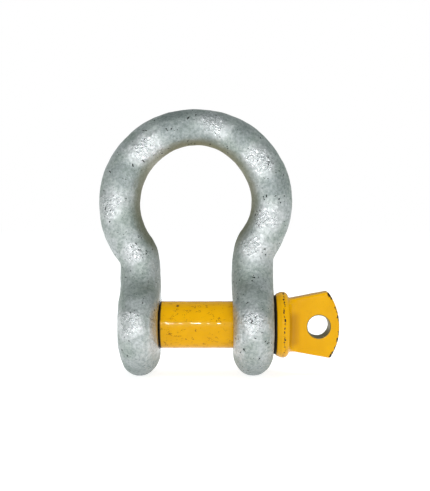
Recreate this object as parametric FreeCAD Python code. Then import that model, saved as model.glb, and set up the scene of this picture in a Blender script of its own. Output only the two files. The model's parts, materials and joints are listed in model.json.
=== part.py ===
import FreeCAD, Part
import math
import os

# Screw pin bow shackle, 28 mm pin.  Millimetres.
# Origin on the pin axis midway between the ears, +X towards the pin head,
# +Z towards the crown of the bow, front faces -Y.

V = FreeCAD.Vector

# ---------------------------------------------------------------- dimensions
PIN_D = 28.0            # screw pin shank
JAW = 44.0              # clear gap between the ears
EAR_T = 24.0            # thickness of each ear
EAR_D = 60.4            # outside diameter of each ear
BOW_CENTRE_R = 45.9     # centreline radius of the round bow
BOW_CENTRE_Z = 73.1     # height of the bow's centre above the pin axis
NECK_R = 16.5           # centreline radius where the bow turns into the legs
CROWN_D = 22.0          # bar diameter at the crown
SIDE_D = 24.7           # bar diameter at the widest point of the bow
NECK_D = 24.8           # bar diameter at the neck
PIN_HOLE_D = 30.0       # plain hole in the right ear
THREAD_HOLE_D = 27.6    # hole in the left ear, over the thread's crests
HOLE_CHAMFER = 1.0

THREAD_D = 27.2         # over the thread's crests
THREAD_END_X = -45.6    # tip of the pin
SHANK_START_X = -21.7   # shoulder of the shank, just clear of the left ear
SHANK_CHAMFER = 0.3
TIP_CHAMFER = 2.0
RELIEF_D = 26.0         # groove between the thread and the shank
RELIEF_L = 1.6
BEARING_D = 35.2        # bare face that comes up to the right ear
BEARING_X = 46.4
COLLAR_D = 39.4
COLLAR_X0 = 47.8
COLLAR_X1 = 55.3
COLLAR_TAPER_L = 2.8    # the collar's rim rises over this length
COLLAR_TAPER_H = 1.2    # by this much
COLLAR_ROUND = 3.4      # and is rounded towards the head
TANG_T = 13.0           # thickness of the flat head
TANG_ROOT_H = 30.6      # height of the head where it leaves the collar
TANG_TIP_H = 39.5       # height of the head at its corners
TANG_OFF_Z = 0.35       # middle of the head's outline above the pin axis
TANG_END_R = 34.5       # radius of the head's end
TANG_END_X = 85.6       # far end of the head
TANG_CORNER = 1.0
TANG_EDGE = 1.6
TANG_ROOT_R = 6.0       # hollow between the collar and the head's two faces
EYE_D = 13.4
EYE_X = 73.1
EYE_Z = -0.45           # height of the eye, and of the end arc's centre
EYE_EDGE = 0.3

LEG_X = JAW / 2 + EAR_T / 2
EAR_R = EAR_D / 2
NOSE = EAR_T / 2        # radius of the full round edge of the ears


# ------------------------------------------------------------------ the bow
def bar_line():
    """Centreline of the bar from one leg over the crown to the other.

    Gives the height at which the legs begin and a list of
    (x, z, tangent angle in radians, bar radius), from +X to -X.
    """
    reach = BOW_CENTRE_R + NECK_R
    side = LEG_X + NECK_R
    rise = math.sqrt(reach * reach - side * side)
    turn = math.atan2(rise, side)
    z_leg = BOW_CENTRE_Z - rise
    half = []
    # neck, from the leg up: the arc's centre lies outside the leg
    steps = 8
    for i in range(steps):
        a = turn * i / steps
        x = LEG_X + NECK_R - NECK_R * math.cos(a)
        z = z_leg + NECK_R * math.sin(a)
        share = i / steps
        r = NOSE + (NECK_D / 2 - NOSE) * share * share * (3 - 2 * share)
        half.append((x, z, math.pi / 2 - a, r))
    # round bow, from the neck to the crown
    steps = 30
    low = -turn
    for i in range(steps + 1):
        a = low + (math.pi / 2 - low) * i / steps
        x = BOW_CENTRE_R * math.cos(a)
        z = BOW_CENTRE_Z + BOW_CENTRE_R * math.sin(a)
        half.append((x, z, a + math.pi / 2, bow_radius(a, low)))
    # the other half is the mirror image, run through backwards
    other = [(-x, z, math.pi - t, r) for x, z, t, r in half[:-1]]
    other = [(x, z, t + math.pi, r) for x, z, t, r in reversed(other)]
    return z_leg, half + other


def bow_radius(a, low):
    """Bar radius at the angle a above the bow's widest point."""
    if a < 0:
        share = a / low
        return (SIDE_D + (NECK_D - SIDE_D) * share * share * (3 - 2 * share)) / 2
    return (SIDE_D - (SIDE_D - CROWN_D) * math.sin(a) ** 3.4) / 2


def ring(x, z, tangent, r):
    """Circle of two half arcs across the bar, split at its inner and outer side."""
    out = V(-math.sin(tangent), 0, math.cos(tangent))
    c = V(x, 0, z)
    side = V(0, 1, 0)
    one = Part.Arc(c + out * r, c + side * r, c - out * r).toShape()
    two = Part.Arc(c - out * r, c - side * r, c + out * r).toShape()
    return Part.Wire([one, two])


def bar_faces(line):
    loft = Part.makeLoft([ring(*p) for p in line], False, False)
    return list(loft.Faces)


def ear_faces(x, z_leg):
    """Skin of one ear, without its hole: two flats and a full round edge.

    The ear's middle plane is a disc with a tapering root; the round edge
    rolls round that outline and turns into the bar where the root ends.
    """
    core = EAR_R - NOSE
    flare = (z_leg * z_leg - core * core) / (2 * core)
    share = core / (core + flare)
    ty, tz = flare * share, z_leg * share
    half = math.atan2(z_leg, flare)
    faces = []
    for side in (-1, 1):
        px = x + side * NOSE
        # flare arcs are centred at y = +-flare, z = z_leg
        mid = -half / 2
        right = Part.Arc(
            V(px, 0, z_leg),
            V(px, flare - flare * math.cos(mid), z_leg + flare * math.sin(mid)),
            V(px, ty, tz),
        ).toShape()
        round_ = Part.Arc(V(px, ty, tz), V(px, 0, -core), V(px, -ty, tz)).toShape()
        left = Part.Arc(
            V(px, -ty, tz),
            V(px, -flare + flare * math.cos(mid), z_leg + flare * math.sin(mid)),
            V(px, 0, z_leg),
        ).toShape()
        faces.append(Part.Face(Part.Wire([right, round_, left])))
    # the round edge along each flare
    for side in (-1, 1):
        arc = Part.Arc(
            V(x - NOSE, 0, z_leg), V(x, side * NOSE, z_leg), V(x + NOSE, 0, z_leg)
        ).toShape()
        faces += arc.revolve(
            V(x, side * flare, z_leg), V(side, 0, 0), math.degrees(half)
        ).Faces
    # and round the disc, from one flare to the other by way of the bottom
    start = V(x, ty, tz)
    out = V(0, ty / core, tz / core)
    arc = Part.Arc(start - V(NOSE, 0, 0), start + out * NOSE, start + V(NOSE, 0, 0)).toShape()
    sweep = 2 * math.pi - 2 * (math.pi / 2 - math.atan2(tz, ty))
    faces += arc.revolve(V(x, 0, 0), V(-1, 0, 0), math.degrees(sweep)).Faces
    return faces


def make_bow():
    z_leg, line = bar_line()
    faces = bar_faces(line) + ear_faces(LEG_X, z_leg) + ear_faces(-LEG_X, z_leg)
    shell = Part.Compound(faces)
    shell.sewShape()
    body = Part.Solid(shell.Shells[0])
    if body.Volume < 0:
        body.reverse()
    for x, d in ((LEG_X, PIN_HOLE_D), (-LEG_X, THREAD_HOLE_D)):
        x0 = x - NOSE
        r = d / 2
        drill = Part.makeCylinder(r, EAR_T + 2, V(x0 - 1, 0, 0), V(1, 0, 0))
        near = Part.makeCone(r + HOLE_CHAMFER + 1, r, HOLE_CHAMFER + 1, V(x0 - 1, 0, 0), V(1, 0, 0))
        far = Part.makeCone(
            r + HOLE_CHAMFER + 1, r, HOLE_CHAMFER + 1, V(x0 + EAR_T + 1, 0, 0), V(-1, 0, 0)
        )
        body = body.cut(drill.fuse([near, far]))
    return body.Solids[0]


# ------------------------------------------------------------ the screw pin
def turned_pin():
    """Thread, shank, bearing face and collar, turned about the X axis."""
    r_thread = THREAD_D / 2
    r_shank = PIN_D / 2
    r_relief = RELIEF_D / 2
    r_bear = BEARING_D / 2
    r_collar = COLLAR_D / 2
    x_relief = SHANK_START_X - RELIEF_L
    pts = [
        (THREAD_END_X, 0),
        (THREAD_END_X, r_thread - TIP_CHAMFER),
        (THREAD_END_X + TIP_CHAMFER, r_thread),
        (x_relief - (r_thread - r_relief), r_thread),
        (x_relief, r_relief),
        (SHANK_START_X, r_relief),
        (SHANK_START_X, r_shank - SHANK_CHAMFER),
        (SHANK_START_X + SHANK_CHAMFER, r_shank),
        (BEARING_X, r_shank),
        (BEARING_X, r_bear),
        (COLLAR_X0, r_bear),
        (COLLAR_X0, r_collar - COLLAR_TAPER_H),
        (COLLAR_X0 + COLLAR_TAPER_L, r_collar),
        (COLLAR_X1 - COLLAR_ROUND, r_collar),
    ]
    edges = [
        Part.LineSegment(V(a[0], 0, a[1]), V(b[0], 0, b[1])).toShape()
        for a, b in zip(pts, pts[1:])
    ]
    c = COLLAR_ROUND * math.sqrt(0.5)
    cx, cr = COLLAR_X1 - COLLAR_ROUND, r_collar - COLLAR_ROUND
    edges.append(
        Part.Arc(V(cx, 0, r_collar), V(cx + c, 0, cr + c), V(COLLAR_X1, 0, cr)).toShape()
    )
    edges.append(Part.LineSegment(V(COLLAR_X1, 0, cr), V(COLLAR_X1, 0, 0)).toShape())
    edges.append(Part.LineSegment(V(COLLAR_X1, 0, 0), V(THREAD_END_X, 0, 0)).toShape())
    face = Part.Face(Part.Wire(edges))
    return face.revolve(V(0, 0, 0), V(1, 0, 0), 360)


def tang_plate():
    """Flat head with an eye, its outline drawn in the XZ plane."""
    cx = TANG_END_X - TANG_END_R
    top = TANG_OFF_Z + TANG_TIP_H / 2
    low = TANG_OFF_Z - TANG_TIP_H / 2
    x_root = COLLAR_X1 - 2.0
    top_x = cx + math.sqrt(TANG_END_R ** 2 - (top - EYE_Z) ** 2)
    low_x = cx + math.sqrt(TANG_END_R ** 2 - (low - EYE_Z) ** 2)
    y = -TANG_T / 2
    slope = (TANG_TIP_H - TANG_ROOT_H) / 2 / ((top_x + low_x) / 2 - COLLAR_X1)
    root = TANG_ROOT_H / 2 - slope * 2.0
    a = V(x_root, y, TANG_OFF_Z + root)
    b = V(top_x, y, top)
    c = V(TANG_END_X, y, EYE_Z)
    d = V(low_x, y, low)
    e = V(x_root, y, TANG_OFF_Z - root)
    wire = Part.Wire([
        Part.LineSegment(a, b).toShape(),
        Part.Arc(b, c, d).toShape(),
        Part.LineSegment(d, e).toShape(),
        Part.LineSegment(e, a).toShape(),
    ])
    plate = Part.Face(wire).extrude(V(0, TANG_T, 0))
    corners = [
        k for k in plate.Edges
        if abs(k.Length - TANG_T) < 1e-6 and k.CenterOfMass.x > COLLAR_X1
    ]
    plate = plate.makeFillet(TANG_CORNER, corners)
    rim = [
        k for k in plate.Edges
        if abs(abs(k.CenterOfMass.y) - TANG_T / 2) < 1e-6
        and k.BoundBox.XMax > COLLAR_X1 + 0.1
    ]
    plate = plate.makeFillet(TANG_EDGE, rim)
    eye = Part.makeCylinder(EYE_D / 2, TANG_T + 2, V(EYE_X, y - 1, EYE_Z), V(0, 1, 0))
    plate = plate.cut(eye)
    rims = [
        k for k in plate.Edges
        if abs(abs(k.CenterOfMass.y) - TANG_T / 2) < 1e-6
        and abs(k.Length - math.pi * EYE_D) < 1e-3
    ]
    return plate.makeFillet(EYE_EDGE, rims)


def root_web():
    """Metal that fills the corner between the collar and the head's two faces.

    Its sides are hollow arcs across the pin, which run out in the head's
    faces, and its ends are round, flush with the collar's flat end.
    """
    far = COLLAR_X1 + TANG_ROOT_R
    sink = 0.05         # the arcs end this far below the head's faces
    start_y = TANG_T / 2 + TANG_ROOT_R - sink
    end_y = TANG_T / 2 - sink
    dip = TANG_ROOT_R * (1 - math.sqrt(0.5))
    edges = []
    for side in (-1, 1):
        edges.append(Part.Arc(
            V(COLLAR_X1, side * start_y, 0),
            V(COLLAR_X1 + dip, side * (end_y + dip), 0),
            V(far, side * end_y, 0),
        ).toShape())
        edges.append(Part.LineSegment(
            V(COLLAR_X1 - 1, side * start_y, 0), V(COLLAR_X1, side * start_y, 0)
        ).toShape())
    edges.append(Part.LineSegment(V(far, -end_y, 0), V(far, end_y, 0)).toShape())
    edges.append(Part.LineSegment(
        V(COLLAR_X1 - 1, -start_y, 0), V(COLLAR_X1 - 1, start_y, 0)
    ).toShape())
    outline = Part.Wire(Part.__sortEdges__(edges))
    web = Part.Face(outline).extrude(V(0, 0, COLLAR_D))
    web.translate(V(0, 0, -COLLAR_D / 2))
    flat_r = COLLAR_D / 2 - COLLAR_ROUND
    return web.common(Part.makeCylinder(flat_r, 20, V(COLLAR_X1 - 5, 0, 0), V(1, 0, 0)))


def make_screw_pin():
    body = turned_pin().fuse([tang_plate(), root_web()]).removeSplitter()
    return body.Solids[0]


def export(name, shape):
    if not shape.isValid():
        raise RuntimeError(name + " is not a valid solid")
    shape.exportStep("parts/" + name + ".step")
    b = shape.BoundBox
    print(
        name, "solids", len(shape.Solids), "faces", len(shape.Faces),
        "volume mm3", round(shape.Volume),
        "box", [round(v, 2) for v in (b.XMin, b.XMax, b.YMin, b.YMax, b.ZMin, b.ZMax)],
    )


os.makedirs("parts", exist_ok=True)
export("bow", make_bow())
export("screw_pin", make_screw_pin())
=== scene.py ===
# %% [markdown]
# # A galvanised bow shackle with a painted screw pin
# The real object is two forgings. The bow is a round steel bar bent like a horseshoe, with an
# ear at each end, dipped in molten zinc. The screw pin goes through the plain hole of the right
# ear and screws into the left ear. This lesson takes the exact CAD solids as blanks, gives them
# an even skin of small faces, and then works that skin the way a forge does: dents, a lumpy zinc
# coat, a cut thread, a torn flash line. Two materials follow, hot-dip zinc and chipped enamel.

# %% Load the CAD frame
import json
import math

import bmesh
import bpy
import numpy as np
from mathutils import Matrix, Vector, noise


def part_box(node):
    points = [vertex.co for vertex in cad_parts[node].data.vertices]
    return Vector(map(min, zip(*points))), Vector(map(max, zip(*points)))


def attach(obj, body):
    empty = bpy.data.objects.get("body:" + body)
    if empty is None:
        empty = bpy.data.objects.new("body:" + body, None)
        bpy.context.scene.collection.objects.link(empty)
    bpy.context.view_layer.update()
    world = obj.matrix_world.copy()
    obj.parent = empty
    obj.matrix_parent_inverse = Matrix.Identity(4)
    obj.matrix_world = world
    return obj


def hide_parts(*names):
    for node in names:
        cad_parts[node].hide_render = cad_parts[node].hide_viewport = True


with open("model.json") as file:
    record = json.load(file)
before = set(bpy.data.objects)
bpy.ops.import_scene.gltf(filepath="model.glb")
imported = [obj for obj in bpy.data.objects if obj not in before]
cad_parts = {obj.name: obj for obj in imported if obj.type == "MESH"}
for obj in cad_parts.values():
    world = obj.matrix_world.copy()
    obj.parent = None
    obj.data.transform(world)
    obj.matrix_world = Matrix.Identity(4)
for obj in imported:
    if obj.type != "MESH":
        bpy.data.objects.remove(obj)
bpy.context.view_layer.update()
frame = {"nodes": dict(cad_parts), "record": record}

MM = 0.001

# %% [markdown]
# ## Where things are
# The origin is on the pin's axis, midway between the ears. +X runs to the pin's head and +Z to
# the crown of the bow. Sizes come from the CAD: the boxes of the two nodes, and the mounts of
# the record, which give the shank's radius and the eye in the head.

# %% Read the main sizes, in millimetres
bow_low, bow_high = (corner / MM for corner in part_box("bow"))
pin_low, pin_high = (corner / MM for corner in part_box("screw_pin"))
mounts = {mount["name"]: mount for mount in frame["record"]["mounts"]}

shank_r = mounts["pin_shank"]["dims"]["r_mm"]
eye_r = mounts["tang_eye"]["dims"]["r_mm"]
eye_x = mounts["tang_eye"]["pos_m"][0] / MM
eye_z = mounts["tang_eye"]["pos_m"][2] / MM
collar_r = pin_high.y

jaw_half = 22.0      # from the middle to each ear's inner face
ear_t = 24.0         # thickness of an ear
ear_x = jaw_half + ear_t / 2
ear_outer = jaw_half + ear_t
bow_centre_z = 73.1  # middle of the round bow
print("bow from", round(bow_low.z, 1), "to", round(bow_high.z, 1), "mm, shank radius", shank_r)

# %% [markdown]
# ## An even skin
# The CAD mesh has long thin triangles, which can't carry small dents. Subdividing would only
# make more thin ones, so a voxel remesh is used: it turns the surface into even squares of the
# same shape. A little smoothing then removes the flat strips that the CAD's triangles leave on
# round bars. The ears' holes are plugged first and cut again later, so their edges stay crisp.

# %% Skin a CAD node in even faces
def finished_mesh(obj):
    """Give obj the mesh that its modifiers make, and drop the modifiers."""
    graph = bpy.context.evaluated_depsgraph_get()
    mesh = bpy.data.meshes.new_from_object(obj.evaluated_get(graph))
    obj.modifiers.clear()
    obj.data = mesh
    mesh.name = obj.name


def even_skin(name, node, voxel_mm, relax_steps, plugs=()):
    """New object with the node's shape in even faces. Plugs are (x, radius, length) discs."""
    shape = bmesh.new()
    shape.from_mesh(frame["nodes"][node].data)
    for x, radius, length in plugs:
        place = Matrix.Translation((x * MM, 0, 0)) @ Matrix.Rotation(math.pi / 2, 4, "Y")
        bmesh.ops.create_cone(
            shape, cap_ends=True, segments=96, radius1=radius * MM, radius2=radius * MM,
            depth=length * MM, matrix=place,
        )
    mesh = bpy.data.meshes.new(name)
    shape.to_mesh(mesh)
    shape.free()
    obj = bpy.data.objects.new(name, mesh)
    bpy.context.scene.collection.objects.link(obj)
    skin = obj.modifiers.new("even_skin", "REMESH")
    skin.mode = "VOXEL"
    skin.voxel_size = voxel_mm * MM
    relax = obj.modifiers.new("relax", "SMOOTH")
    relax.factor = 0.5
    relax.iterations = relax_steps
    finished_mesh(obj)
    print(name, "skinned:", len(obj.data.vertices), "points")
    return obj


# %% [markdown]
# ## Shaping by moving points
# A mesh can be sculpted in code: its points are read into arrays, with the normals that say
# which way is outwards, moved all at once, and written back. Two small formulas do most of the
# work. Smooth noise stands for what chance made, such as dents, and a soft step says where one
# stretch of the object ends and the next begins.

# %% Points, noise and soft steps
def read_points(obj):
    """Points in millimetres and their unit normals, one row each."""
    count = len(obj.data.vertices)
    points = np.empty(count * 3)
    normals = np.empty(count * 3)
    obj.data.vertices.foreach_get("co", points)
    obj.data.vertices.foreach_get("normal", normals)
    return points.reshape(-1, 3) / MM, normals.reshape(-1, 3)


def write_points(obj, points):
    obj.data.vertices.foreach_set("co", (points * MM).ravel())
    obj.data.update()


def lumps(points, wavelength, seed):
    """Smooth noise from about -1 to 1 with bumps of that wavelength in millimetres."""
    shift = Vector((17.3, 5.1, 9.7)) * seed
    return np.array([noise.noise(Vector(p) / wavelength + shift) for p in points])


def ease(value, start, end):
    """0 before start, 1 after end, with a soft rise between. Start may be above end."""
    share = np.clip((value - start) / (end - start), 0, 1)
    return share * share * (3 - 2 * share)


def from_axis(points):
    """Distance of each point from the pin's axis, in millimetres."""
    return np.hypot(points[:, 1], points[:, 2])


# %% [markdown]
# ## The bow's blank
# Real ears aren't quite full round: the die's two halves meet in the middle of the rim, which
# leaves it a little pointed. So the sides of each rim are drawn in slightly, most near the edge.
# The bar's front and back were flattened a touch where the forging was trimmed.

# %% Skin the bow and shape its rims
plug_r = 16.8         # wider than either hole
bow = even_skin("bow_forging", "bow", 0.75, 14, [(-ear_x, plug_r, ear_t), (ear_x, plug_r, ear_t)])
points, normals = read_points(bow)

rim_draw = 0.05       # share by which a rim's sides are drawn in near its edge
trim_flat = 0.35      # depth in mm taken off the bar's front and back
draw = rim_draw * ease(from_axis(points), 15, 27) * ease(points[:, 2], 24, 6)
for side in (-1, 1):
    on_ear = (np.sign(points[:, 0]) == side) & (points[:, 2] < 26)
    middle = side * ear_x
    points[on_ear, 0] = middle + (points[on_ear, 0] - middle) * (1 - draw[on_ear])
on_bar = ease(points[:, 2], 36, 50)
facing = np.abs(normals[:, 1])
points[:, 1] -= np.sign(points[:, 1]) * trim_flat * ease(facing, 0.80, 1.0) * on_bar
print("rims drawn in by up to", round(float(draw.max()) * ear_t / 2, 2), "mm")

# %% [markdown]
# ## One side unlike the other
# A bar bent hot rarely comes out with two equal sides. The right leg is stouter and its neck
# sits higher, the left leg stands a little inwards, and the whole bow leans left. The outer
# face of the left ear falls away round its hole. Soft steps keep each change to its own place.

# %% Lean, lift and swell, all in millimetres
lean = 0.4            # the bow towards the left
neck_lift = 3.0       # the right neck upwards
leg_shift = 0.35      # the left leg inwards
leg_swell = 0.5       # extra half thickness of the right leg
leg_offset = 0.15     # the right leg inwards
ear_dish = 0.6        # depth of the left ear's outer face round its hole

on_right = points[:, 0] > 0
reach = from_axis(points)
leg = ease(reach, 17.5, 21) * ease(points[:, 2], 42, 34)
across = np.clip((points[:, 0] - ear_x) / (ear_t / 2), -1, 1)
swell = (leg_swell * across - leg_offset) * ease(points[:, 2], -18, -4)
points[:, 0] += leg * np.where(on_right, swell, leg_shift)
outer_left = ease(points[:, 0], -ear_x - 6, -ear_x - 11)
points[:, 0] += ear_dish * outer_left * ease(reach, 15.5, 18.5) * ease(reach, 29, 23)
points[:, 0] -= lean * ease(points[:, 2], 30, 60)
neck = ease(points[:, 2], 14, 44) * ease(points[:, 2], 84, 52) * on_right
points[:, 2] += neck_lift * neck
write_points(bow, points)
print("right neck lifted by", round(float(neck.max()) * neck_lift, 2), "mm")

# %% [markdown]
# ## Hammer dents and a lumpy coat
# Four sizes of lumps are laid over each other: the long waves of hot forging, hammer dents, the
# runs of the zinc, and the grain of the steel under it. Small pits go in on top. Each is noise
# pushed along the surface's normal, so outlines and highlights both break up as on real metal.

# %% Lay the lumps on the bow
points, normals = read_points(bow)
bow_lumps = [
    # wavelength mm, height mm, seed
    (26.0, 0.34, 1),
    (11.0, 0.20, 2),
    (5.0, 0.13, 3),
    (2.4, 0.075, 4),
]
pit_depth = 0.10
height = np.zeros(len(points))
for wavelength, rise, seed in bow_lumps:
    height += rise * lumps(points, wavelength, seed)
height -= pit_depth * ease(lumps(points, 2.6, 5), 0.40, 0.65)
write_points(bow, points + normals * height[:, None])
print("zinc surface from", round(height.min(), 2), "to", round(height.max(), 2), "mm")

# %% [markdown]
# ## The thread
# A right-hand thread is one groove that moves along by a pitch for each turn. Its depth depends
# only on how far a point is along the axis and how far round it is, so one formula serves for
# the pin's thread and for the hole it turns in, and the two fit at rest.

# %% The thread's formula
thread_pitch = 3.0    # coarse pitch of a 27 mm thread
thread_depth = 1.7
pin_crest_r = 13.6
thread_play = 0.2     # gap between the pin's thread and the hole's


def groove(x, angle):
    """Share of the thread's depth at that place, 0 on a crest and 1 in the groove."""
    turn = (x / thread_pitch - angle / (2 * math.pi)) % 1.0
    slope = np.abs(2 * turn - 1)
    return np.clip((slope - 0.14) / 0.64, 0, 1)


print("thread pitch", thread_pitch, "mm, depth", thread_depth, "mm")

# %% [markdown]
# ## The holes in the ears
# A drill for each ear is built as a stack of rings round the X axis, and a boolean takes it out
# of the ear. The right one is plain, and the left one follows the thread. Both open out at the
# ear's faces, which cuts the bevels.

# %% A turned solid, and a cut
def turned_solid(name, xs, radius_of, segments):
    """Closed solid of rings round the X axis. radius_of takes x and the angles of the ring."""
    angles = np.arange(segments) * 2 * math.pi / segments
    rings = []
    for x in xs:
        radius = radius_of(x, angles) * np.ones(segments)
        ring = np.stack([np.full(segments, x), radius * np.cos(angles), radius * np.sin(angles)], 1)
        rings.append(ring * MM)
    faces = []
    for i in range(len(xs) - 1):
        for j in range(segments):
            k = (j + 1) % segments
            faces.append((i * segments + j, i * segments + k,
                          (i + 1) * segments + k, (i + 1) * segments + j))
    last = (len(xs) - 1) * segments
    faces.append(tuple(reversed(range(segments))))
    faces.append(tuple(last + j for j in range(segments)))
    mesh = bpy.data.meshes.new(name)
    mesh.from_pydata(np.concatenate(rings).tolist(), [], faces)
    solid = bmesh.new()
    solid.from_mesh(mesh)
    bmesh.ops.recalc_face_normals(solid, faces=solid.faces)
    solid.to_mesh(mesh)
    solid.free()
    obj = bpy.data.objects.new(name, mesh)
    bpy.context.scene.collection.objects.link(obj)
    return obj


def cut(obj, drill):
    """Take the drill out of obj."""
    hole = obj.modifiers.new("hole", "BOOLEAN")
    hole.operation = "DIFFERENCE"
    hole.solver = "EXACT"
    hole.object = drill
    finished_mesh(obj)
    bpy.data.objects.remove(drill)


# %% Drill the plain hole and the threaded hole
plain_hole_r = 15.0
bevel = 1.0
core_depth = 1.2      # how far the ridges in the hole stand in from its outer radius
drill_past = 1.5      # how far a drill stands out of the ear, for a clean cut


def bevel_at(x):
    """Extra radius of the bevel where x comes near either face of an ear."""
    depth = min(abs(x) - jaw_half, ear_outer - abs(x))
    return max(0.0, bevel - depth)


def plain_hole(x, angles):
    return plain_hole_r + bevel_at(x)


def threaded_hole(x, angles):
    outer = pin_crest_r + thread_play
    return np.maximum(outer - thread_depth * groove(x, angles), outer - core_depth + bevel_at(x) * 2.2)


plain_xs = [jaw_half - drill_past, jaw_half + bevel, ear_outer - bevel, ear_outer + drill_past]
thread_xs = np.arange(-ear_outer - drill_past, -jaw_half + drill_past + 0.01, 0.25)
cut(bow, turned_solid("plain_drill", plain_xs, plain_hole, 128))
cut(bow, turned_solid("thread_drill", thread_xs, threaded_hole, 96))
print("bow with holes:", len(bow.data.polygons), "faces")

# %% [markdown]
# ## The screw pin's blank
# The pin is skinned like the bow, but finer. Its turned part is then trued up: each point is
# moved to the nearest place on the pin's true outline, as on a lathe, so that the gloss of the
# paint shows a clean round bar and not the CAD's flat strips.

# %% The outline that the lathe follows, as (x, radius)
tip_x = pin_low.x
shoulder_x = -21.7    # the shank's end, just clear of the left ear
relief_l = 1.6        # groove behind the thread
relief_r = 13.0
bearing_r = 17.6
bearing_x = 46.4
collar_x = (47.8, 55.3)
rim_round = 3.4
outline = [
    (tip_x, 0), (tip_x, 11.6), (tip_x + 2, pin_crest_r), (-23.9, pin_crest_r),
    (shoulder_x - relief_l, relief_r), (shoulder_x, relief_r), (shoulder_x, shank_r - 0.3),
    (shoulder_x + 0.3, shank_r), (bearing_x, shank_r), (bearing_x, bearing_r),
    (collar_x[0], bearing_r), (collar_x[0], collar_r - 1.2), (collar_x[0] + 2.8, collar_r),
]
for step in range(9):
    turn = step / 8 * math.pi / 2
    outline.append((collar_x[1] - rim_round + rim_round * math.sin(turn),
                    collar_r - rim_round + rim_round * math.cos(turn)))
print("outline:", len(outline), "points")

# %% Skin the pin and turn it true
pin = even_skin("screw_pin_forging", "screw_pin", 0.45, 4)
points, normals = read_points(pin)
along = points[:, 0]
radius = from_axis(points)
angle = np.arctan2(points[:, 2], points[:, 1])
true_within = 0.15    # points further than this from the outline stay, as on the flat head
here = np.stack([along, radius], 1)
nearest = here.copy()
gap = np.full(len(points), true_within)
for start, end in zip(np.array(outline), np.array(outline)[1:]):
    edge = end - start
    share = np.clip((here - start) @ edge / (edge @ edge), 0, 1)
    place = start + share[:, None] * edge
    away = np.linalg.norm(here - place, axis=1)
    closer = away < gap
    nearest[closer] = place[closer]
    gap[closer] = away[closer]
along, radius = nearest[:, 0].copy(), nearest[:, 1].copy()
print("trued up:", int((gap < true_within).sum()), "of", len(points), "points")

# %% [markdown]
# ## Cutting the pin's thread
# The formula of the hole is used again: every point of the threaded end moves in by the depth
# of the groove at its place. The groove behind the thread goes down to the same depth.

# %% Cut the thread
threaded = along < shoulder_x - relief_l
relief = (along >= shoulder_x - relief_l) & (along < shoulder_x - 0.1)
cut_to = pin_crest_r - thread_depth * groove(along, angle)
radius[threaded] = np.minimum(radius, cut_to)[threaded]
radius[relief] = np.minimum(radius, pin_crest_r - thread_depth)[relief]
points = np.stack([along, radius * np.cos(angle), radius * np.sin(angle)], 1)
write_points(pin, points)
print("threaded end:", int(threaded.sum()), "points")

# %% [markdown]
# ## Skin of the forged and painted parts
# Thick enamel lies over a turned and forged surface. On the shank it keeps faint rings, long
# round the bar and short along it, which break the highlight into dashes. The head's faces are
# a little uneven. Round the collar runs a rough line where the forging's flash was sheared off.
# Noise gets longer one way when its points are squeezed that way before it is read.

# %% Lay rings, waves and the sheared line on the pin
flash_x = 51.9        # the sheared line wanders about here, on the collar
flash_wander = 0.9


def from_flash(points):
    """Distance along the pin from the wandering line, in millimetres."""
    return points[:, 0] - (flash_x + flash_wander * lumps(points * (0, 1, 1), 7.0, 17))


points, normals = read_points(pin)
painted = ease(points[:, 0], shoulder_x + 0.2, shoulder_x + 1.2)
under_collar = (points[:, 0] > bearing_x - 0.5) & (points[:, 0] < collar_x[0] + 0.1)
painted[under_collar] = 0
head = ease(points[:, 0], 54, 58)
rings = 0.04 + 0.11 * ease(points[:, 0], 48, 44)
height = rings * lumps(points * (1, 0.2, 0.2), 4.6, 11) + 0.02 * lumps(points, 3.8, 12)
height += head * (0.16 * lumps(points, 14.0, 13) + 0.05 * lumps(points, 4.5, 14))
on_flash = np.exp(-(from_flash(points) / 0.9) ** 2) * ease(from_axis(points), 16.5, 17.5)
torn = lumps(points, 1.3, 15)
height += on_flash * (0.22 * lumps(points, 2.6, 16) - 0.30 * ease(torn, 0.15, 0.5))
write_points(pin, points + normals * (height * painted)[:, None])
print("paint surface from", round(height.min(), 2), "to", round(height.max(), 2), "mm")

# %% [markdown]
# ## Marking places on the mesh
# A material can't know by itself where paint was masked off or knocked. Such places follow from
# the shape, so they are worked out here and kept on the mesh as named values from 0 to 1, which
# the materials read. The paint stops short of the thread, of the face under the collar and of
# the eye's wall. Handling wears the shank more than the head, and the paint is darkened in the
# hollow beside the collar as painted shade.

# %% Pin: bare, worn and painted-shade places
def keep_mask(obj, name, values):
    layer = obj.data.attributes.new(name, "FLOAT", "POINT")
    layer.data.foreach_set("value", values.astype(np.float32))
    print(obj.name, name, "covers", round(float(values.mean()) * 100, 1), "%")


points, normals = read_points(pin)
reach = from_axis(points)
from_eye = np.hypot(points[:, 0] - eye_x, points[:, 2] - eye_z)
eye_wall = ease(from_eye, eye_r + 0.55, eye_r + 0.3)
bearing_face = ((points[:, 0] > bearing_x - 0.4) & (points[:, 0] < collar_x[0] - 0.05)
                & (reach > shank_r + 0.1))
bare = ease(points[:, 0], shoulder_x + 0.95, shoulder_x + 0.75)
bare = np.maximum(np.maximum(bare, bearing_face), eye_wall)
# Painted shade: the paint is darkened in the hollow beside the collar.
hollow = ease(points[:, 0], 63.5, 58.5) * ease(points[:, 0], 54.6, 55.6)
keep_mask(pin, "bare", bare)
keep_mask(pin, "eye_wall", eye_wall)
keep_mask(pin, "hollow", hollow * ease(np.abs(points[:, 2] + 2), 12, 7))
keep_mask(pin, "worn", ease(points[:, 0], 40, 30) * 0.9 + 0.1)

# %% [markdown]
# ## Where the paint chips
# Paint chips first where an edge leaves it thin: on the rims of the head's end, in a few
# groups, and along the sheared line of the collar. Single knocks go through to the steel. Each
# is a ragged ball round one place, so on a rim it bites into both faces.

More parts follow.
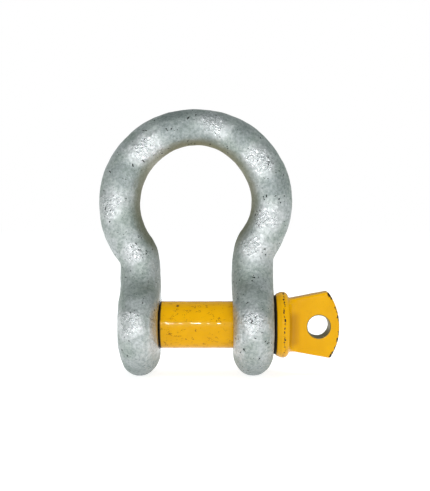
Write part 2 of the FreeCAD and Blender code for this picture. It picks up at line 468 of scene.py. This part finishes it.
# %% Pin: chipping edges and knocks
head_end_r = 34.5     # radius of the head's end
end_centre_x = pin_high.x - head_end_r
to_end = head_end_r - np.hypot(points[:, 0] - end_centre_x, points[:, 2] - eye_z)
at_rim = ease(np.abs(points[:, 1]), 3.4, 5.6)
grouped = 0.35 + 0.65 * ease(lumps(points, 8.0, 19), -0.05, 0.25)
end_edge = ease(to_end, 2.2, 0.6) * ease(points[:, 0], 70, 74) * at_rim * grouped
keep_mask(pin, "end_edge", end_edge)
keep_mask(pin, "flash_line", np.exp(-from_flash(points) ** 2) * ease(reach, 16.0, 17.0))

rim_y = 5.9           # from the head's middle to the rims of its end
end_knocks = [
    # height z on the front rim, upside down on the back one, and size, in mm
    (18.4, 1.3), (16.6, 0.8), (5.4, 0.9), (3.2, 0.7), (-8.6, 0.7), (-16.0, 0.8), (-18.0, 1.3),
]
knocks = [(-10.8, -7.0, 12.1, 0.8)]  # one on the shank, as x, y, z and size
for side in (-1, 1):
    for z, size in end_knocks:
        x = end_centre_x + math.sqrt(head_end_r ** 2 - (z - eye_z) ** 2) - 0.6
        knocks.append((x, side * rim_y, -side * z, size))
ragged = lumps(points, 1.1, 18)
knocked = np.zeros(len(points))
for *place, size in knocks:
    knock_edge = size * (1 + 0.7 * ragged)
    from_knock = np.linalg.norm(points - place, axis=1)
    knocked = np.maximum(knocked, ease(from_knock, knock_edge + 0.2, knock_edge - 0.2))
keep_mask(pin, "knock", knocked)

# %% [markdown]
# ## Bright and dull zinc
# As the bow leaves the bath, the molten zinc is wiped here and drains together there. Wiped
# places set smooth and bright, and thick ones cool slowly and turn dull, most of all at the
# bottom, where the last zinc hangs. The front's bright patches are listed one by one, and the
# back's are left to noise. Painted shade darkens the inside of the bow, most under the crown,
# with a brownish tint. The ears' inner faces are rubbed smooth, so they mirror the yellow shank.

# %% Bow: wiped, dull, painted-shade and threaded places
def spots(points, places, full_share):
    """Soft round spots at (x, z, size in mm), full within that share of their size."""
    value = np.zeros(len(points))
    for x, z, size in places:
        from_place = np.hypot(points[:, 0] - x, points[:, 2] - z)
        value = np.maximum(value, ease(from_place, size * 1.3, size * full_share))
    return value


points, normals = read_points(bow)
wiped_places = [
    (10, 120, 10), (-29, 105, 12), (38, 98, 11), (42, 64, 11), (-51, 72, 11),
    (34, 48, 10), (-37, 44, 8), (-37, 4, 10), (34, 5, 10),
]
dull_places = [(-12, 119, 12), (3, 112, 9), (47, 84, 8), (-42, 90, 9), (27, 113, 7)]

wiped = spots(points, wiped_places, 0.35)
on_back = points[:, 1] > 0
wiped[on_back] = ease(lumps(points[on_back], 22.0, 6), 0.0, 0.35)
wiped = np.clip(1.25 * wiped + 0.5 * lumps(points, 6.0, 7) - 0.12, 0, 1)
facing_jaw = -np.sign(points[:, 0]) * normals[:, 0]
rubbed = ease(facing_jaw, 0.45, 0.8) * ease(np.abs(points[:, 2]), 20, 12)
keep_mask(bow, "wiped", np.maximum(wiped, 0.85 * rubbed))

dull = np.maximum(ease(points[:, 2], -10, -28), spots(points, dull_places, 0.5))
keep_mask(bow, "dull", np.clip(dull + 0.25 * lumps(points, 5.0, 8), 0, 1))

to_middle = np.stack([-points[:, 0], bow_centre_z - points[:, 2]], 1)
to_middle /= np.linalg.norm(to_middle, axis=1)[:, None]
inward = normals[:, 0] * to_middle[:, 0] + normals[:, 2] * to_middle[:, 1]
# Painted shade: the inside of the bow is darkened, most under the crown.
inner_shade = ease(inward, 0.55, 0.98) * ease(points[:, 2], 15, 40)
keep_mask(bow, "inner_shade", inner_shade * (0.8 + 0.2 * ease(points[:, 2], 90, 112)))

in_left_ear = np.abs(points[:, 0] + ear_x) < ear_t / 2 + 0.1
keep_mask(bow, "thread_wall", (in_left_ear & (from_axis(points) < 14.6)).astype(float))

# %% [markdown]
# ## Soft and sharp edges
# Shading runs smoothly over the forgings, and breaks only at real edges, such as the bevels of
# the holes. An edge between two faces that turn by more than 50 degrees is marked sharp.

# %% Shade the forgings
sharp_degrees = 50
for piece in (bow, pin):
    work = bmesh.new()
    work.from_mesh(piece.data)
    sharp = 0
    for face in work.faces:
        face.smooth = True
    for edge in work.edges:
        if len(edge.link_faces) == 2 and edge.calc_face_angle() > math.radians(sharp_degrees):
            edge.smooth = False
            sharp += 1
    work.to_mesh(piece.data)
    work.free()
    print(piece.name, "sharp edges:", sharp)

# %% [markdown]
# ## Materials: colours and nodes
# Colours are written as sRGB hex, as a colour picker shows them, and turned to the linear
# numbers that Blender mixes. One function adds any node, sets its options and fills or links
# its sockets.

# %% Colour and node helpers
def linear(hex_colour):
    """Linear RGBA from an sRGB hex such as #B8C0BE."""
    channels = [int(hex_colour[i:i + 2], 16) / 255 for i in (1, 3, 5)]
    rgb = [c / 12.92 if c <= 0.04045 else ((c + 0.055) / 1.055) ** 2.4 for c in channels]
    return (*rgb, 1.0)


def add_node(tree, kind, inputs=(), **options):
    """Add a node. Options are its own settings, inputs are values or sockets to link from."""
    node = tree.nodes.new(kind)
    for name, value in options.items():
        setattr(node, name, value)
    for key, value in dict(inputs).items():
        if isinstance(value, bpy.types.NodeSocket):
            tree.links.new(value, node.inputs[key])
        else:
            node.inputs[key].default_value = value
    return node


def new_material(name):
    """Material with an empty shader; gives the material, its tree and the shader node."""
    material = bpy.data.materials.new(name)
    material.use_nodes = True
    return material, material.node_tree, material.node_tree.nodes["Principled BSDF"]


# sockets of the Mix node when it mixes colours
MIX, FIRST, SECOND, MIXED = 0, 6, 7, 2
print("white is", linear("#FFFFFF"), "and mid grey is", round(linear("#808080")[0], 3))

# %% [markdown]
# ## Hot-dip galvanised steel
# Zinc from the bath is a bare silver-grey metal, so it is fully metallic and keeps a metal's
# default IOR. It gives the eye patches rather than one tone: groups of crystals that set
# together, a mottle over them, crinkles where the setting skin folded, and black specks of
# dross and pits. Each is noise at a size in millimetres, read in the object's own space so that
# it moves with the part. Real dross grains are about 0.3 mm, drawn here at about 1 mm so that
# they show. The crinkles are folds of the setting skin, about 2 mm apart.

# %% Zinc: patterns and marked places
zinc_patterns = {
    # size mm, detail, roughness, distortion
    "patches": (12.0, 3.0, 0.55, 0.0),
    "mottle": (1.6, 4.0, 0.65, 0.0),
    "crinkle": (1.9, 3.0, 0.6, 0.9),
    "specks": (1.5, 2.0, 0.5, 0.0),
    "speck_groups": (7.0, 1.0, 0.5, 0.0),
    "grain": (0.8, 2.0, 0.7, 0.0),
}
galvanised, tree, zinc = new_material("hot_dip_galvanised_steel")
spot = add_node(tree, "ShaderNodeTexCoord").outputs["Object"]
pattern = {}
for name, (size_mm, detail, roughness, distortion) in zinc_patterns.items():
    pattern[name] = add_node(tree, "ShaderNodeTexNoise", {
        "Vector": spot, "Scale": 1 / (size_mm * MM), "Detail": detail,
        "Roughness": roughness, "Distortion": distortion}).outputs["Fac"]
marked = {}
for name in ("wiped", "dull", "inner_shade", "thread_wall"):
    marked[name] = add_node(tree, "ShaderNodeAttribute", attribute_name=name).outputs["Fac"]
print("zinc patterns:", ", ".join(pattern))

# %% [markdown]
# Noise is soft, from 0 to 1 with most of it near 0.5. Map Range stretches a narrow band of it,
# which gives patches with edges. The specks are only the peaks of their noise, and fewer of
# them show where the groups' noise is low, so that they come in clusters as dross does.

# %% Zinc: how much of each
patch_share = add_node(tree, "ShaderNodeMapRange", {
    "Value": pattern["patches"], "From Min": 0.38, "From Max": 0.62}).outputs[0]
mottle_share = add_node(tree, "ShaderNodeMapRange", {
    "Value": pattern["mottle"], "From Min": 0.36, "From Max": 0.64}).outputs[0]
speck_limit = add_node(tree, "ShaderNodeMapRange", {
    "Value": pattern["speck_groups"], "From Min": 0.45, "From Max": 0.65,
    "To Min": 0.72, "To Max": 0.63}).outputs[0]
speck_rise = add_node(tree, "ShaderNodeMath", {
    0: pattern["specks"], 1: speck_limit}, operation="SUBTRACT").outputs[0]
speck_share = add_node(tree, "ShaderNodeMapRange", {
    "Value": speck_rise, "From Min": 0.0, "From Max": 0.03}).outputs[0]
dull_share = add_node(tree, "ShaderNodeMath", {
    0: marked["dull"], 1: 0.65}, operation="MULTIPLY").outputs[0]
# painted shade inside the bow
inner_shade_share = add_node(tree, "ShaderNodeMath", {
    0: marked["inner_shade"], 1: 0.95}, operation="MULTIPLY").outputs[0]
print("zinc nodes so far:", len(tree.nodes))

# %% [markdown]
# The colour is built up like coats of paint: each layer covers what is under it by its share.
# The mottle multiplies instead, so it darkens every tone under it alike.

# %% Zinc: colour, layer over layer
zinc_tone = add_node(tree, "ShaderNodeMix", {
    MIX: patch_share, FIRST: linear("#B2BAB6"), SECOND: linear("#C9CDCE")},
    data_type="RGBA").outputs[MIXED]
mottle_tone = add_node(tree, "ShaderNodeMix", {
    MIX: mottle_share, FIRST: linear("#D0D5D3"), SECOND: linear("#FFFFFF")},
    data_type="RGBA").outputs[MIXED]
zinc_layers = [
    (marked["wiped"], linear("#D6D8DA"), "MIX"),        # bright, wiped while molten
    (dull_share, linear("#99A1A1"), "MIX"),             # dull, slow to cool
    (1.0, mottle_tone, "MULTIPLY"),
    (inner_shade_share, linear("#7C795E"), "MIX"),            # brownish painted shade, inside the bow
    (speck_share, linear("#3F4441"), "MIX"),            # dross and pits
    (marked["thread_wall"], linear("#5A5651"), "MIX"),  # oiled steel of the cut thread
]
for share, colour, blend in zinc_layers:
    zinc_tone = add_node(tree, "ShaderNodeMix", {MIX: share, FIRST: zinc_tone, SECOND: colour},
                         data_type="RGBA", blend_type=blend).outputs[MIXED]
tree.links.new(zinc_tone, zinc.inputs["Base Color"])
zinc.inputs["Metallic"].default_value = 1.0
print("zinc colour has", len(zinc_layers), "layers over its two base tones")

# %% [markdown]
# Gloss and relief follow the same places. Wiped zinc is much smoother, and the crinkles stand up
# only there. Specks are rough, and sunk. Three bumps are chained, each taking the one before as
# its normal.

# %% Zinc: gloss and relief
smooth_or_rough = add_node(tree, "ShaderNodeMapRange", {
    "Value": marked["wiped"], "To Min": 0.64, "To Max": 0.24}).outputs[0]
zinc_roughness = add_node(tree, "ShaderNodeMath", {
    0: smooth_or_rough, 1: speck_share}, operation="MAXIMUM").outputs[0]
tree.links.new(zinc_roughness, zinc.inputs["Roughness"])

pitted = add_node(tree, "ShaderNodeMath", {
    0: pattern["mottle"], 1: speck_share}, operation="SUBTRACT").outputs[0]
crinkled = add_node(tree, "ShaderNodeMath", {
    0: pattern["crinkle"], 1: marked["wiped"]}, operation="MULTIPLY").outputs[0]
coarse_bump = add_node(tree, "ShaderNodeBump", {
    "Strength": 0.6, "Distance": 0.45 * MM, "Height": pitted}).outputs["Normal"]
crinkle_bump = add_node(tree, "ShaderNodeBump", {
    "Strength": 1.0, "Distance": 0.8 * MM, "Height": crinkled,
    "Normal": coarse_bump}).outputs["Normal"]
fine_bump = add_node(tree, "ShaderNodeBump", {
    "Strength": 0.6, "Distance": 0.22 * MM, "Height": pattern["grain"],
    "Normal": crinkle_bump}).outputs["Normal"]
tree.links.new(fine_bump, zinc.inputs["Normal"])
print(galvanised.name, "has", len(tree.nodes), "nodes")

# %% [markdown]
# ## Yellow enamel on forged steel
# Safety-yellow enamel is a glossy plastic-like film: not metallic, IOR 1.5, very smooth. It
# gives the eye one strong colour that varies a little where the film is thick or thin. It chips
# to dark scale on edges, and fine brown scratches show where it was rubbed. Bare places, such
# as the thread, are blackened steel with a trace of oil. Chips are 0.3 to 1 mm on the real pin
# and about 1 mm here.

# %% Enamel: patterns and marked places
enamel_patterns = {
    # size mm, detail, roughness, distortion
    "chips": (1.3, 3.0, 0.6, 0.0),
    "film": (9.0, 1.0, 0.5, 0.0),
    "scratches": (2.4, 2.0, 0.5, 1.2),
    "breaks": (3.0, 2.0, 0.6, 0.0),
    "peel": (1.4, 1.0, 0.4, 0.0),
}
enamel, tree, coat = new_material("yellow_enamel_on_forged_steel")
spot = add_node(tree, "ShaderNodeTexCoord").outputs["Object"]
pattern = {}
for name, (size_mm, detail, roughness, distortion) in enamel_patterns.items():
    pattern[name] = add_node(tree, "ShaderNodeTexNoise", {
        "Vector": spot, "Scale": 1 / (size_mm * MM), "Detail": detail,
        "Roughness": roughness, "Distortion": distortion}).outputs["Fac"]
marked = {}
for name in ("end_edge", "flash_line", "bare", "worn", "eye_wall", "knock", "hollow"):
    marked[name] = add_node(tree, "ShaderNodeAttribute", attribute_name=name).outputs["Fac"]
print("enamel patterns:", ", ".join(pattern))

# %% [markdown]
# Paint comes off where the chips' noise rises above a limit. The limit is high on open faces,
# so almost nothing chips there, and much lower on the rims and on the sheared line. Knocks and
# bare places are added as they are.

# %% Enamel: where the steel shows
chip_limit = 0.84
for zone, drop in (("worn", -0.05), ("end_edge", -0.34), ("flash_line", -0.35)):
    chip_limit = add_node(tree, "ShaderNodeMath", {
        0: marked[zone], 1: drop, 2: chip_limit}, operation="MULTIPLY_ADD").outputs[0]
chip_rise = add_node(tree, "ShaderNodeMath", {
    0: pattern["chips"], 1: chip_limit}, operation="SUBTRACT").outputs[0]
chip_share = add_node(tree, "ShaderNodeMapRange", {
    "Value": chip_rise, "From Min": 0.0, "From Max": 0.03}).outputs[0]
chip_share = add_node(tree, "ShaderNodeMath", {
    0: chip_share, 1: marked["knock"]}, operation="MAXIMUM").outputs[0]
steel_share = add_node(tree, "ShaderNodeMath", {
    0: chip_share, 1: marked["bare"]}, operation="MAXIMUM").outputs[0]
print("enamel nodes so far:", len(tree.nodes))

# %% [markdown]
# A thin line comes from noise by keeping only what is nearly 0.5, which draws a contour like
# one on a map. A second noise breaks the contour into short squiggles. They are strong on the
# worn shank and faint on the head.

# %% Enamel: fine scratches
off_line = add_node(tree, "ShaderNodeMath", {
    0: pattern["scratches"], 1: 0.5}, operation="SUBTRACT").outputs[0]
off_line = add_node(tree, "ShaderNodeMath", {0: off_line}, operation="ABSOLUTE").outputs[0]
scratch_share = add_node(tree, "ShaderNodeMapRange", {
    "Value": off_line, "From Min": 0.030, "From Max": 0.012}).outputs[0]
break_share = add_node(tree, "ShaderNodeMapRange", {
    "Value": pattern["breaks"], "From Min": 0.55, "From Max": 0.60}).outputs[0]
for share in (break_share, marked["worn"]):
    scratch_share = add_node(tree, "ShaderNodeMath", {
        0: scratch_share, 1: share}, operation="MULTIPLY").outputs[0]
# painted shade in the hollow beside the collar, at half strength
hollow_shade_share = add_node(tree, "ShaderNodeMath", {
    0: marked["hollow"], 1: 0.5}, operation="MULTIPLY").outputs[0]
print("enamel nodes so far:", len(tree.nodes))

# %% Enamel: colour, layer over layer
enamel_tone = add_node(tree, "ShaderNodeMix", {
    MIX: pattern["film"], FIRST: linear("#CB9300"), SECOND: linear("#DAA200")},
    data_type="RGBA").outputs[MIXED]
enamel_layers = [
    (scratch_share, "#7C4F0A"),       # brown scratches
    (hollow_shade_share, "#9A6414"),        # painted shade in the hollow beside the collar
    (steel_share, "#2A2723"),         # blackened steel
    (marked["eye_wall"], "#80764F"),  # greyish brown of the eye's wall
]
for share, colour in enamel_layers:
    enamel_tone = add_node(tree, "ShaderNodeMix", {
        MIX: share, FIRST: enamel_tone, SECOND: linear(colour)},
        data_type="RGBA").outputs[MIXED]
tree.links.new(enamel_tone, coat.inputs["Base Color"])
print("enamel colour has", len(enamel_layers), "layers over its two base tones")

# %% [markdown]
# The film's specular level is turned down, because the pale room round the shackle would wash
# the yellow out. Steel that shows through is mostly metallic and rougher, and the chips lie a
# film's thickness lower. The film has a faint orange-peel ripple of its own.

# %% Enamel: gloss and relief
steel_metal = add_node(tree, "ShaderNodeMath", {
    0: steel_share, 1: 0.7}, operation="MULTIPLY").outputs[0]
tree.links.new(steel_metal, coat.inputs["Metallic"])
enamel_roughness = add_node(tree, "ShaderNodeMapRange", {
    "Value": steel_share, "To Min": 0.05, "To Max": 0.45}).outputs[0]
tree.links.new(enamel_roughness, coat.inputs["Roughness"])
coat.inputs["IOR"].default_value = 1.5
coat.inputs["Specular IOR Level"].default_value = 0.14
film_height = add_node(tree, "ShaderNodeMath", {
    0: pattern["peel"], 1: chip_share}, operation="SUBTRACT").outputs[0]
film_bump = add_node(tree, "ShaderNodeBump", {
    "Strength": 0.25, "Distance": 0.10 * MM, "Height": film_height}).outputs["Normal"]
tree.links.new(film_bump, coat.inputs["Normal"])
print(enamel.name, "has", len(tree.nodes), "nodes")

# %% [markdown]
# ## Joining the pieces to the CAD bodies
# Each forging stands for its CAD node, gets the same material as that node, and rides on an
# empty named after its body. The hidden CAD nodes get the same materials.

# %% Put the materials on and join
for piece, material, node, body, slot in (
    (bow, galvanised, "bow", "bow", "galvanised_steel"),
    (pin, enamel, "screw_pin", "screw_pin", "yellow_paint"),
):
    for mesh in (piece.data, frame["nodes"][node].data):
        mesh.materials.clear()
        mesh.materials.append(material)
    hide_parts(node)
    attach(piece, body)
    print(piece.name, "stands for", node)

# %% [markdown]
# ## Floor
# The shackle stands on its ears on matt white paper. The paper gives off light of its own, as a
# lit backdrop does, so that it stays an even white with only a faint shadow.

# %% Floor
floor_mesh = bpy.data.meshes.new("floor")
plan = bmesh.new()
bmesh.ops.create_grid(plan, x_segments=1, y_segments=1, size=4.0)
plan.to_mesh(floor_mesh)
plan.free()
floor = bpy.data.objects.new("floor", floor_mesh)
bpy.context.scene.collection.objects.link(floor)
floor.location.z = bow_low.z * MM
paper, tree, sheet = new_material("matt_white_paper")
sheet.inputs["Base Color"].default_value = linear("#C4C4C4")
sheet.inputs["Roughness"].default_value = 0.9
sheet.inputs["Emission Color"].default_value = linear("#FFFFFF")
sheet.inputs["Emission Strength"].default_value = 0.74
floor_mesh.materials.append(paper)
print("floor at", round(bow_low.z, 2), "mm")

# %% [markdown]
# ## The room that the metal mirrors
# A bar of metal shows what it faces, so the room shapes the zinc more than the lamps do. It is
# bright in front, near the camera, quieter above, and dark in a small patch straight behind,
# which surfaces seen edge-on mirror. The camera itself sees a plain white backdrop.

# %% World
room_tones = [
    # axis, where the tone starts, where it is full, and the tone
    ("Y", 0.2, -0.9, "#E2E5E4"),   # in front
    ("Y", 0.86, 0.97, "#7E827F"),  # straight behind
    ("Z", 0.2, 0.9, "#A6ACAC"),    # above
]
world = bpy.data.worlds.new("studio")
bpy.context.scene.world = world
world.use_nodes = True
tree = world.node_tree
tree.nodes.clear()
direction = add_node(tree, "ShaderNodeTexCoord").outputs["Generated"]
axes = add_node(tree, "ShaderNodeSeparateXYZ", {0: direction})
room = linear("#C3CAC5")           # at the sides
for axis, start, full, tone in room_tones:
    share = add_node(tree, "ShaderNodeMapRange", {
        "Value": axes.outputs[axis], "From Min": start, "From Max": full}).outputs[0]
    room = add_node(tree, "ShaderNodeMix", {MIX: share, FIRST: room, SECOND: linear(tone)},
                    data_type="RGBA").outputs[MIXED]
seen = add_node(tree, "ShaderNodeLightPath").outputs["Is Camera Ray"]
backdrop = add_node(tree, "ShaderNodeMix", {
    MIX: seen, FIRST: room, SECOND: linear("#FFFFFF")}, data_type="RGBA").outputs[MIXED]
glow = add_node(tree, "ShaderNodeBackground", {"Color": backdrop, "Strength": 1.0})
add_node(tree, "ShaderNodeOutputWorld", {"Surface": glow.outputs[0]})
print("room tones:", len(room_tones) + 1)

# %% [markdown]
# ## Lamps
# A large softbox in front lights the forgings evenly. A small bright lamp, nearer the shackle,
# draws the row of sharp dashes along the glossy shank, which a softbox would only smear. The
# overhead lamp lifts the paint and the floor. It is kept out of reflections, because mirrored in
# the zinc it would whiten the top of the bow.

# %% Lamps, placed in metres
middle = Vector((0, 0, 0.045))


def add_lamp(name, place, size, watts):
    """Rectangular lamp that points at the middle of the shackle."""
    data = bpy.data.lights.new(name, "AREA")
    data.shape = "RECTANGLE"
    data.size, data.size_y = size
    data.energy = watts
    lamp = bpy.data.objects.new(name, data)
    bpy.context.scene.collection.objects.link(lamp)
    lamp.location = place
    lamp.rotation_euler = (middle - Vector(place)).to_track_quat("-Z", "Y").to_euler()
    print(name, watts, "W")
    return lamp


add_lamp("front_softbox", (-0.05, -0.95, 0.12), (0.7, 0.5), 1.7)
add_lamp("front_spark", (-0.05, -0.60, 0.14), (0.045, 0.02), 0.70)
overhead = add_lamp("overhead", (0.1, -0.1, 1.1), (0.9, 0.9), 8.0)
overhead.visible_glossy = False

# %% [markdown]
# ## Camera
# The shackle is looked at straight on from about half a metre. The view is shifted, as a view
# camera does, so that the sides stay upright. The lens sits a little above the shackle's middle,
# and so the lower wall of the head's eye shows.

# %% Camera
camera_data = bpy.data.cameras.new("camera")
camera_data.lens = 58.7
camera_data.sensor_width = 36.0
camera_data.shift_x = -0.0179
camera_data.shift_y = -0.0618
camera = bpy.data.objects.new("camera", camera_data)
bpy.context.scene.collection.objects.link(camera)
camera.location = (0.0165, -0.483, 0.066)
camera.rotation_euler = (math.pi / 2, 0, 0)
bpy.context.scene.camera = camera
bpy.context.scene.view_settings.view_transform = "Standard"
print("camera at", [round(v / MM) for v in camera.location], "mm")
